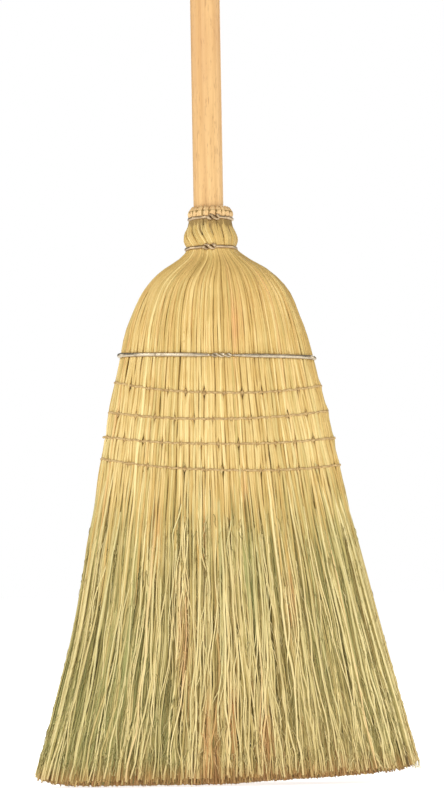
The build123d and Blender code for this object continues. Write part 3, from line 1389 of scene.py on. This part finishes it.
# ------------------------------------------------------------------ stitching
@dataclass
class Stitching:
    """Four rows of twine round the head, each held by stitches that go through it.

    Attributes:
        head: The head's shape.
        radius: Twine radius.
        lift: How far the twine's middle stands off the straw.
        height: Height of a stitch over the row.
        lean: Sideways lean of a stitch from its bottom to its top.
        arch: Height of a stitch's arch, and how deep its ends go, in twine radii.
        uneven: Spread of the stitches' places.
        points: Points along the twine of a row, and along a stitch.
        ripples: Ups and downs of the twine round the head, and their sizes.
    """

    head: Head
    radius: float = 0.00092
    lift: float = 0.0003
    height: float = 0.0042
    lean: float = 0.0011
    arch: tuple[float, float] = (2.1, 1.2)
    uneven: float = 0.0005
    points: tuple[int, int] = (720, 13)
    ripples: tuple[tuple[int, float], ...] = ((46, 0.0002), (31, 0.00015))

    def row_line(self, row: Row) -> Array:
        """The twine along a row: the head's outline at the row's own sagging height.

        The height depends on x and x on the height, so both are worked out three times.
        Two small sines keep the twine from lying dead straight.

        Args:
            row: The row.

        Returns:
            One closed line, shaped (1, points, 3).
        """
        share = np.linspace(0, 1, self.points[0], endpoint=False)
        z = np.full_like(share, row.height)
        out = np.full_like(share, -self.lift)
        for _ in range(3):
            x = self.head.lay(share, z, out)[:, 0] - self.head.middle(z)
            z = row.at(x / self.head.wide(z))
        for count, size in self.ripples:
            z = z + size * np.sin(2 * np.pi * share * count)
        return self.head.lay(share, z, out)[None]

    def stitch_lines(self, row: Row, rng: np.random.Generator, side: int) -> Array:
        """The stitches of a row on one face.

        Each is an arch over the row: its height runs from below to above, and it stands off
        the straw by a cosine that dips into the straw at both ends.

        Args:
            row: The row.
            rng: Source of the random draws.
            side: -1 for the front, 1 for the back.

        Returns:
            Lines shaped (1 or more, stations, 3).
        """
        stitches = self.head.stitches
        half = float(self.head.wide(np.full(1, row.height))[0])
        reach = half - stitches.margin
        count = int(reach / stitches.spacing) + 2
        x = row.shift + stitches.spacing * np.arange(-count, count + 1)
        x = (x + rng.normal(0, self.uneven, len(x)))[np.abs(x) < reach][:, None]
        t = np.linspace(-1, 1, self.points[1])
        z = row.at(x / half) + 0.5 * self.height * t * rng.uniform(0.85, 1.15, x.shape)
        wide, deep = self.head.wide(z), self.head.deep(z)
        power = self.head.squareness(z)
        pull = stitches.move(x + 0 * z, z, wide)[1]
        surface = (deep - pull) * (1 - np.abs(x / wide) ** power) ** (1 / power)
        high, sunk = self.arch
        arch = high * self.radius * np.cos(0.5 * np.pi * t) - sunk * self.radius
        lean = self.lean * t * 0.5 * rng.uniform(0.3, 1.5, x.shape)
        return np.stack([x + self.head.middle(z) + lean, side * (surface + arch), z], axis=-1)

    def build(self, finish: bpy.types.Material) -> list[bpy.types.Object]:
        """Makes and dresses the twine and the stitches of every row.

        Args:
            finish: Their material.

        Returns:
            The new pieces.
        """
        pieces = []
        for number, row in enumerate(self.head.stitches.rows, start=1):
            line = self.row_line(row)
            twine = Tubes(
                line, np.full(line.shape[:2], self.radius), 10, (0.0, 0.0, 1.0), True,
                lobes=2, lobe_depth=0.03, lay=0.0048,
            )
            piece = tube_piece(f"row_twine_{number}", twine)
            pieces.append(keep(piece, finish, "stitch_twine", f"stitch_band_{number}"))
            for face, side in zip(FACES, (-1, 1)):
                rng = np.random.default_rng(50 + 2 * number + side)
                lines = self.stitch_lines(row, rng, side)
                radii = np.full(lines.shape[:2], 0.80 * self.radius)
                tubes = Tubes(lines, radii, 8, (1.0, 0.0, 0.0), lobes=2, lobe_depth=0.12)
                piece = tube_piece(f"row_stitches_{number}_{face.label}", tubes)
                pieces.append(keep(piece, finish, "stitch_twine", f"lock_stitches_{number}"))
        return pieces


# ------------------------------------------------------------------ materials
class Graph:
    """A node tree with short ways to add and link nodes."""

    def __init__(self, tree: bpy.types.NodeTree) -> None:
        """Keeps the tree."""
        self.tree = tree

    def put(self, socket: bpy.types.NodeSocket, value: Value | tuple) -> None:
        """Links a socket to another socket, or gives it a value.

        Args:
            socket: The input socket.
            value: An output socket, or a plain value.
        """
        if isinstance(value, bpy.types.NodeSocket):
            self.tree.links.new(value, socket)
        else:
            socket.default_value = value

    def add(
        self, kind: str, settings: dict[str, str] | None = None, **inputs: Value | tuple
    ) -> bpy.types.Node:
        """Adds a node.

        Args:
            kind: The node's type, without the ShaderNode prefix.
            settings: Properties of the node.
            inputs: Values or sockets for its inputs, spaces in names written as _, or at
                and the input's number.

        Returns:
            The node.
        """
        node = self.tree.nodes.new("ShaderNode" + kind)
        for key, value in (settings or {}).items():
            setattr(node, key, value)
        for key, value in inputs.items():
            name = int(key[2:]) if key.startswith("at") else key.replace("_", " ")
            self.put(node.inputs[name], value)
        return node

    def calc(self, kind: str, **inputs: Value) -> bpy.types.NodeSocket:
        """A Math node of that operation on at0, at1 and at2."""
        return self.add("Math", {"operation": kind}, **inputs).outputs[0]

    def swing(self, value: Value, size: float, base: Value) -> bpy.types.NodeSocket:
        """Base plus size times how far the value is above its middle, 0.5."""
        centred = self.calc("SUBTRACT", at0=value, at1=0.5)
        return self.calc("MULTIPLY_ADD", at0=centred, at1=size, at2=base)

    def mix(
        self, share: Value, first: Colour | bpy.types.NodeSocket, second: Colour
    ) -> bpy.types.NodeSocket:
        """A colour between two others.

        Args:
            share: How much of the second colour, from 0 to 1.
            first: The first colour.
            second: The second colour.

        Returns:
            The mixed colour.
        """
        node = self.add("Mix", {"data_type": "RGBA"}, at0=share, at7=(*second, 1.0))
        plain = isinstance(first, tuple)
        self.put(node.inputs[6], (*first, 1.0) if plain else first)
        return node.outputs[2]

    def ramp(self, value: Value, stops: list[tuple[float, Colour]]) -> bpy.types.NodeSocket:
        """A colour ramp.

        Args:
            value: The value that picks the colour.
            stops: Places on the ramp, and their colours.

        Returns:
            The colour.
        """
        node = self.add("ValToRGB", at0=value)
        elements = node.color_ramp.elements
        while len(elements) < len(stops):
            elements.new(0.5)
        for element, (place, colour) in zip(elements, stops):
            element.position = place
            element.color = (*colour, 1.0)
        return node.outputs[0]

    def remap(
        self, value: Value, low: float, high: float, to_low: float, to_high: float
    ) -> bpy.types.NodeSocket:
        """A value moved from one range to another, and held within it."""
        node = self.add("MapRange", at0=value, at1=low, at2=high, at3=to_low, at4=to_high)
        return node.outputs[0]


class Effect(Enum):
    """A pattern that materials share: its name, inputs with their defaults, and output."""

    STREAKS = (
        "fibre_streaks", {"Vector": None, "Across": 500.0, "Along": 20.0, "Contrast": 1.0},
        "Streak",
    )
    MOTTLE = ("mottle", {"Vector": None, "Scale": 60.0, "Contrast": 1.0}, "Mottle")


Effects = dict[Effect, bpy.types.NodeTree]


def make_effect(effect: Effect) -> bpy.types.NodeTree:
    """A pattern's node group: noise, spread about its middle by the contrast.

    Streaks are noise on coordinates that are squeezed more across than along Z. Mottling is
    noise of the same scale every way.

    Args:
        effect: Which pattern.

    Returns:
        The node group.
    """
    name, inputs, output = effect.value
    group = bpy.data.node_groups.new(name, "ShaderNodeTree")
    for key, value in inputs.items():
        kind = "NodeSocketVector" if value is None else "NodeSocketFloat"
        socket = group.interface.new_socket(name=key, in_out="INPUT", socket_type=kind)
        if value is not None:
            socket.default_value = value
    group.interface.new_socket(name=output, in_out="OUTPUT", socket_type="NodeSocketFloat")
    graph = Graph(group)
    given = group.nodes.new("NodeGroupInput").outputs
    out = group.nodes.new("NodeGroupOutput")
    if effect is Effect.STREAKS:
        scale = graph.add("CombineXYZ", X=given["Across"], Y=given["Across"], Z=given["Along"])
        squeezed = graph.add(
            "VectorMath", {"operation": "MULTIPLY"}, at0=given["Vector"], at1=scale.outputs[0]
        )
        settings = {"Vector": squeezed.outputs[0], "Scale": 1.0, "Detail": 3.0, "Roughness": 0.6}
    else:
        settings = {"Vector": given["Vector"], "Scale": given["Scale"], "Detail": 4.0}
    noise = graph.add("TexNoise", **settings)
    graph.put(out.inputs[output], graph.swing(noise.outputs[0], given["Contrast"], 0.5))
    return group


class Surface(Graph):
    """A material's node tree, which lays patterns on Object coordinates."""

    def __init__(self, name: str, effects: Effects) -> None:
        """Starts a material.

        Args:
            name: Its name.
            effects: The shared patterns.
        """
        self.material = bpy.data.materials.new(name)
        self.material.use_nodes = True
        self.effects = effects
        super().__init__(self.material.node_tree)

    @cached_property
    def place(self) -> bpy.types.NodeSocket:
        """Object coordinates."""
        return self.add("TexCoord").outputs["Object"]

    def lay(self, effect: Effect, **values: float) -> bpy.types.NodeSocket:
        """Lays a shared pattern over the object.

        Args:
            effect: Which pattern.
            values: Values for its inputs.

        Returns:
            The pattern.
        """
        place = self.place
        node = self.tree.nodes.new("ShaderNodeGroup")
        node.node_tree = self.effects[effect]
        for key, value in {"Vector": place, **values}.items():
            self.put(node.inputs[key], value)
        return node.outputs[0]

    def bump(self, height: Value, strength: float, distance: float) -> bpy.types.NodeSocket:
        """A normal that a height has bent."""
        node = self.add("Bump", Strength=strength, Distance=distance, Height=height)
        return node.outputs[0]

    def feed(self, **inputs: Value | tuple) -> bpy.types.Material:
        """Feeds the shader.

        Args:
            inputs: Values or sockets for its inputs, spaces in names written as _.

        Returns:
            The finished material.
        """
        shader = self.tree.nodes["Principled BSDF"]
        for key, value in inputs.items():
            self.put(shader.inputs[key.replace("_", " ")], value)
        return self.material


@dataclass(frozen=True)
class StrawFinish:
    """Dried broomcorn.

    Attributes:
        name: The material's name.
        dark: The darkest straw.
        middle: The plain straw.
        pale: The palest straw.
        green: Straw cut green.
        red: Straw with red streaks.
        cut: The cut end.
        roughness: Roughness of clean straw.
    """

    name: str
    dark: Colour = (0.270, 0.160, 0.036)
    middle: Colour = (0.600, 0.405, 0.130)
    pale: Colour = (0.860, 0.680, 0.310)
    green: Colour = (0.370, 0.370, 0.135)
    red: Colour = (0.690, 0.360, 0.140)
    cut: Colour = (0.360, 0.200, 0.075)
    roughness: float = 0.50

    def make(self, effects: Effects) -> bpy.types.Material:
        """Builds the material: shade and hue of each straw, streaks, mottling and cut ends.

        Args:
            effects: The shared patterns.

        Returns:
            The material.
        """
        surface = Surface(self.name, effects)
        straw = surface.add("Attribute", {"attribute_name": "straw"})
        parts = surface.add("SeparateColor", Color=straw.outputs["Color"])
        shade, hue, cut = parts.outputs
        streak = surface.lay(Effect.STREAKS, Across=1500.0, Along=40.0, Contrast=1.0)
        patch = surface.lay(Effect.MOTTLE, Scale=70.0, Contrast=1.2)
        lit = surface.swing(patch, 0.25, surface.swing(streak, 0.35, shade))
        colour = surface.ramp(lit, [(0.0, self.dark), (0.5, self.middle), (1.0, self.pale)])
        greener = surface.remap(hue, 0.47, 0.05, 0.0, 0.85)
        redder = surface.remap(hue, 0.55, 1.0, 0.0, 0.85)
        for share, other in ((greener, self.green), (redder, self.red), (cut, self.cut)):
            colour = surface.mix(share, colour, other)
        smooth, rough = self.roughness - 0.08, self.roughness + 0.14
        return surface.feed(
            Base_Color=colour,
            Roughness=surface.remap(streak, 0.2, 0.8, smooth, rough),
            Normal=surface.bump(streak, 0.35, 0.0002),
            Specular_IOR_Level=0.3,
        )


@dataclass(frozen=True)
class BeechFinish:
    """Turned beech, lightly sanded and unvarnished, with its short dark flecks.

    Attributes:
        pale: Early wood.
        warm: Late wood.
        fleck: The dark flecks.
        darker_wood: Darker wood, for the handling marks and towards the top of the handle.
        held: Heights between which the wood gets darker towards the top.
    """

    pale: Colour = (0.745, 0.475, 0.205)
    warm: Colour = (0.575, 0.328, 0.122)
    fleck: Colour = (0.330, 0.160, 0.055)
    darker_wood: Colour = (0.540, 0.280, 0.110)
    held: tuple[float, float] = (0.49, 0.60)

    def make(self, effects: Effects) -> bpy.types.Material:
        """Builds the material: grain, growth bands, flecks, handling marks and pores.

        Args:
            effects: The shared patterns.

        Returns:
            The material.
        """
        surface = Surface("beech", effects)
        grain = surface.lay(Effect.STREAKS, Across=420.0, Along=9.0, Contrast=1.6)
        bands = surface.lay(Effect.STREAKS, Across=95.0, Along=1.6, Contrast=1.7)
        pores = surface.lay(Effect.STREAKS, Across=800.0, Along=110.0, Contrast=1.3)
        worn = surface.lay(Effect.MOTTLE, Scale=14.0, Contrast=2.0)
        halves = [surface.calc("MULTIPLY", at0=part, at1=0.5) for part in (grain, bands)]
        level = surface.calc("ADD", at0=halves[0], at1=halves[1])
        colour = surface.ramp(level, [(0.30, self.warm), (0.68, self.pale)])
        colour = surface.mix(surface.remap(pores, 0.58, 0.78, 0.0, 0.62), colour, self.fleck)
        height = surface.add("SeparateXYZ", Vector=surface.place).outputs["Z"]
        # The wood gets darker towards the top of the handle, by height.
        lower = surface.remap(height, *self.held, 0.06, 0.30)
        marks = surface.remap(worn, 0.50, 0.95, -0.06, 0.30)
        handling = surface.calc("ADD", at0=lower, at1=marks)
        relief = surface.calc("MULTIPLY_ADD", at0=pores, at1=-0.6, at2=grain)
        return surface.feed(
            Base_Color=surface.mix(handling, colour, self.darker_wood),
            Roughness=surface.remap(worn, 0.2, 0.9, 0.55, 0.40),
            Normal=surface.bump(relief, 0.25, 0.0003),
            Specular_IOR_Level=0.35,
        )


@dataclass(frozen=True)
class WireFinish:
    """Drawn steel wire with a zinc coat.

    Attributes:
        name: The material's name.
        bright: Clean coat.
        dull: Tarnished coat.
        roughness: Roughness of the clean coat.
    """

    name: str
    bright: Colour = (0.66, 0.57, 0.42)
    dull: Colour = (0.34, 0.26, 0.16)
    roughness: float = 0.26

    def make(self, effects: Effects) -> bpy.types.Material:
        """Builds the material: tarnish and small dents.

        Args:
            effects: The shared patterns.

        Returns:
            The material.
        """
        surface = Surface(self.name, effects)
        tarnish = surface.lay(Effect.MOTTLE, Scale=260.0, Contrast=1.8)
        dents = surface.lay(Effect.MOTTLE, Scale=900.0, Contrast=1.0)
        dulled = surface.remap(tarnish, 0.45, 0.85, 0.0, 0.8)
        rough = self.roughness + 0.25
        return surface.feed(
            Base_Color=surface.mix(dulled, self.bright, self.dull),
            Roughness=surface.remap(tarnish, 0.3, 0.9, self.roughness, rough),
            Normal=surface.bump(dents, 0.2, 0.0001),
            Metallic=1.0,
        )


@dataclass(frozen=True)
class TwineFinish:
    """Two-ply twine of tan thread.

    Attributes:
        light: Thread on top of the lay.
        deep: Thread in the grooves.
    """

    light: Colour = (0.550, 0.385, 0.170)
    deep: Colour = (0.360, 0.225, 0.085)

    def make(self, effects: Effects) -> bpy.types.Material:
        """Builds the material: uneven dye and fuzz.

        Args:
            effects: The shared patterns.

        Returns:
            The material.
        """
        surface = Surface("twine", effects)
        dye = surface.lay(Effect.MOTTLE, Scale=420.0, Contrast=1.8)
        fuzz = surface.lay(Effect.MOTTLE, Scale=2600.0, Contrast=1.0)
        dyed = surface.remap(dye, 0.3, 0.8, 0.0, 1.0)
        return surface.feed(
            Base_Color=surface.mix(dyed, self.light, self.deep),
            Roughness=surface.remap(fuzz, 0.3, 0.7, 0.75, 0.95),
            Normal=surface.bump(fuzz, 0.5, 0.0002),
        )


# ------------------------------------------------------------------ studio
@dataclass(frozen=True)
class Lamp:
    """A square soft box that faces the head.

    Attributes:
        name: Its name.
        place: Its middle.
        size: Its side.
        watts: Its power.
    """

    name: str
    place: Place
    size: float
    watts: float


@dataclass
class Studio:
    """A pale floor, soft light and the camera.

    Attributes:
        distance: Camera distance from the broom's axis.
        aim: Where the camera looks.
        camera_height: Height of the camera.
        view_height: Height of the picture at the axis.
        roll: Turn of the camera about its own line of sight, in degrees.
        sensor: Size of the sensor's long side, in millimetres.
        floor_half: Half the side of the floor.
        floor_glow: Light given off by the floor, so that it reads as white paper.
        surround: Strength of the white surroundings as light.
        lit: The point that the lamps face.
        lamps: The lamps.
    """

    distance: float = 2.3
    aim: Place = (0.0082, 0.0, 0.3064)
    camera_height: float = 0.161
    view_height: float = 0.640
    roll: float = 1.0
    sensor: float = 36.0
    floor_half: float = 30.0
    floor_glow: float = 0.80
    surround: float = 0.27
    lit: Place = (0.0, 0.0, 0.35)
    lamps: tuple[Lamp, ...] = (
        Lamp("key", (-0.9, -2.1, 1.3), 1.3, 27.5),
        Lamp("fill", (1.4, -2.0, 0.6), 1.4, 12.5),
        Lamp("top", (0.2, -0.3, 2.4), 1.5, 6.0),
        Lamp("left", (-2.4, 0.2, 0.9), 1.2, 12.0),
        Lamp("right", (2.4, 0.2, 0.9), 1.2, 12.0),
        Lamp("back", (0.5, 2.4, 1.3), 1.4, 14.0),
    )

    def floor(self) -> None:
        """The floor, which isn't part of the broom."""
        half = self.floor_half
        corners = [(-half, -half, 0), (half, -half, 0), (half, half, 0), (-half, half, 0)]
        piece = fill_mesh("floor", np.array(corners), [np.array([[0, 1, 2, 3]])])
        paper = Surface("floor_paper", {}).feed(
            Base_Color=(0.9, 0.9, 0.9, 1.0),
            Roughness=0.9,
            Specular_IOR_Level=0.1,
            Emission_Color=(1.0, 1.0, 1.0, 1.0),
            Emission_Strength=self.floor_glow,
        )
        piece.data.materials.append(paper)

    def world(self) -> None:
        """White surroundings, dimmer as light than as a backdrop."""
        world = bpy.data.worlds.new("studio")
        world.use_nodes = True
        bpy.context.scene.world = world
        graph = Graph(world.node_tree)
        ray = graph.add("LightPath").outputs["Is Camera Ray"]
        back = world.node_tree.nodes["Background"]
        graph.put(back.inputs["Color"], (1.0, 1.0, 1.0, 1.0))
        graph.put(back.inputs["Strength"], graph.remap(ray, 0.0, 1.0, self.surround, 1.0))

    def stand(
        self, data: bpy.types.Light | bpy.types.Camera, place: Place, target: Place
    ) -> bpy.types.Object:
        """Stands a lamp or camera in a place, turned to look at a point.

        Args:
            data: The lamp or camera.
            place: Where it stands.
            target: Where it looks.

        Returns:
            Its object.
        """
        thing = bpy.data.objects.new(data.name, data)
        bpy.context.scene.collection.objects.link(thing)
        thing.location = place
        thing.rotation_mode = "QUATERNION"
        thing.rotation_quaternion = (Vector(target) - Vector(place)).to_track_quat("-Z", "Y")
        return thing

    def light(self, lamp: Lamp) -> None:
        """Sets up one soft box.

        Args:
            lamp: The lamp.
        """
        data = bpy.data.lights.new(lamp.name, "AREA")
        data.size = lamp.size
        data.energy = lamp.watts
        self.stand(data, lamp.place, self.lit)

    def camera(self) -> None:
        """The camera, low in front of the head and looking a little up."""
        data = bpy.data.cameras.new("camera")
        data.sensor_width = self.sensor
        data.lens = self.sensor * self.distance / self.view_height
        place = (self.aim[0], -self.distance, self.camera_height)
        camera = self.stand(data, place, self.aim)
        turn = Quaternion((0.0, 0.0, 1.0), math.radians(-self.roll))
        camera.rotation_quaternion = camera.rotation_quaternion @ turn
        bpy.context.scene.camera = camera

    def build(self) -> None:
        """Sets up the whole studio."""
        self.floor()
        self.world()
        for lamp in self.lamps:
            self.light(lamp)
        self.camera()
        bpy.context.scene.view_settings.view_transform = "Standard"


# ------------------------------------------------------------------ the broom
def dress_node(node: str, finish: bpy.types.Material) -> None:
    """Gives a node that keeps its CAD shape a detailed material.

    Args:
        node: The node.
        finish: The material.
    """
    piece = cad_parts[node]
    piece.data.materials.clear()
    piece.data.materials.append(finish)
    log.info("%s: dressed with %s", node, finish.name)


def build_straw(head: Head, effects: Effects) -> None:
    """Builds all the straw, from the inside out.

    Args:
        head: The head's shape.
        effects: The shared patterns.
    """
    stalk = StrawFinish("cover_straw", cut=(0.800, 0.520, 0.270)).make(effects)
    fibre = StrawFinish(
        "fibre_straw", dark=(0.200, 0.140, 0.032), middle=(0.500, 0.385, 0.135),
        pale=(0.860, 0.715, 0.350), cut=(0.480, 0.235, 0.080),
    ).make(effects)
    # Painted shade: the inner straw's colours are darker than the cover's, for the straw seen in
    # the gaps and at the cut where shade falls. The brown of the cut ends is their own.
    inner = StrawFinish(
        "inner_straw", dark=(0.110, 0.065, 0.018), middle=(0.380, 0.245, 0.080),
        pale=(0.700, 0.500, 0.210), cut=(0.330, 0.165, 0.055),
    ).make(effects)
    InnerStraw(head).build(inner)
    under = FibreLayer(
        head, "under_fibres", seed=60, clumps=70, each=5, tops=(0.255, 0.30),
        depths=(0.0036, 0.0060), radii=(0.00075, 0.00055), shades=(0.42, 0.08, 0.12),
        spread=0.5, bevel=0.0, browned=0.8, stations=12, sides=3,
    )
    for side in SHOULDERS:
        under.build(side, inner, "inner_corn", f"shoulder_corn_{side.label}")
    fine = FibreLayer(
        head, "cover_fibres", seed=20, clumps=92, each=15, tops=(0.230, 0.270),
        depths=(0.0010, 0.0042), radii=(0.00066, 0.00040), shades=(0.43, 0.15, 0.20),
        spread=0.45, browned=0.55, pieces=2,
    )
    strands = FibreLayer(
        head, "cover_strands", seed=24, clumps=136, each=1, tops=(0.200, 0.262),
        depths=(0.0001, 0.0016), radii=(0.00098, 0.00064), shades=(0.80, 0.10, 0.12),
        spread=1.1, wave=1.6, take=0.50, stations=18,
    )
    for face in FACES:
        CoverStalks(head).build(face, stalk)
        for layer in (fine, strands):
            layer.build(face, fibre, "cover_corn", f"cover_corn_{face.label}")
        LooseStraws(head).build(face, fibre)
        Fuzz(head).build(face, fibre)


def build_wires(effects: Effects) -> None:
    """Builds the two wires round the neck and the thicker one round the head.

    Args:
        effects: The shared patterns.
    """
    coat = WireFinish(
        "galvanised_wire", bright=(0.50, 0.42, 0.30), dull=(0.24, 0.18, 0.11), roughness=0.24
    ).make(effects)
    neck_coat = WireFinish(
        "tie_wire", bright=(0.52, 0.39, 0.24), dull=(0.28, 0.19, 0.10), roughness=0.28
    ).make(effects)
    TiedWire("neck_wire_upper", "tie_wire", twist_at=0.0022).build(neck_coat)
    TiedWire(
        "neck_wire_lower", "tie_wire", twist_at=-0.0014, slope=0.01, twist_length=0.0100
    ).build(neck_coat)
    TiedWire(
        "band_wire", "band_wire", twist_at=0.0030, radius=0.00190, squareness=2.35,
        middle=0.0046, slope=-0.030, twist_length=0.0110, turns=1.5, thin=0.60, grip=0.50,
    ).build(coat)


def main() -> None:
    """Builds the broom and its studio."""
    logging.basicConfig(level=logging.INFO, format="%(message)s")
    effects = {effect: make_effect(effect) for effect in Effect}
    dress_node("handle", BeechFinish().make(effects))
    steel = WireFinish("plain_steel", roughness=0.4).make(effects)
    for node in ("anchor_tack", "core_winding_wire", "shoulder_winding_wire"):
        dress_node(node, steel)
    head = Head.measured()
    build_straw(head, effects)
    build_wires(effects)
    Stitching(head).build(TwineFinish().make(effects))
    Studio().build()


if __name__ == "__main__":
    main()
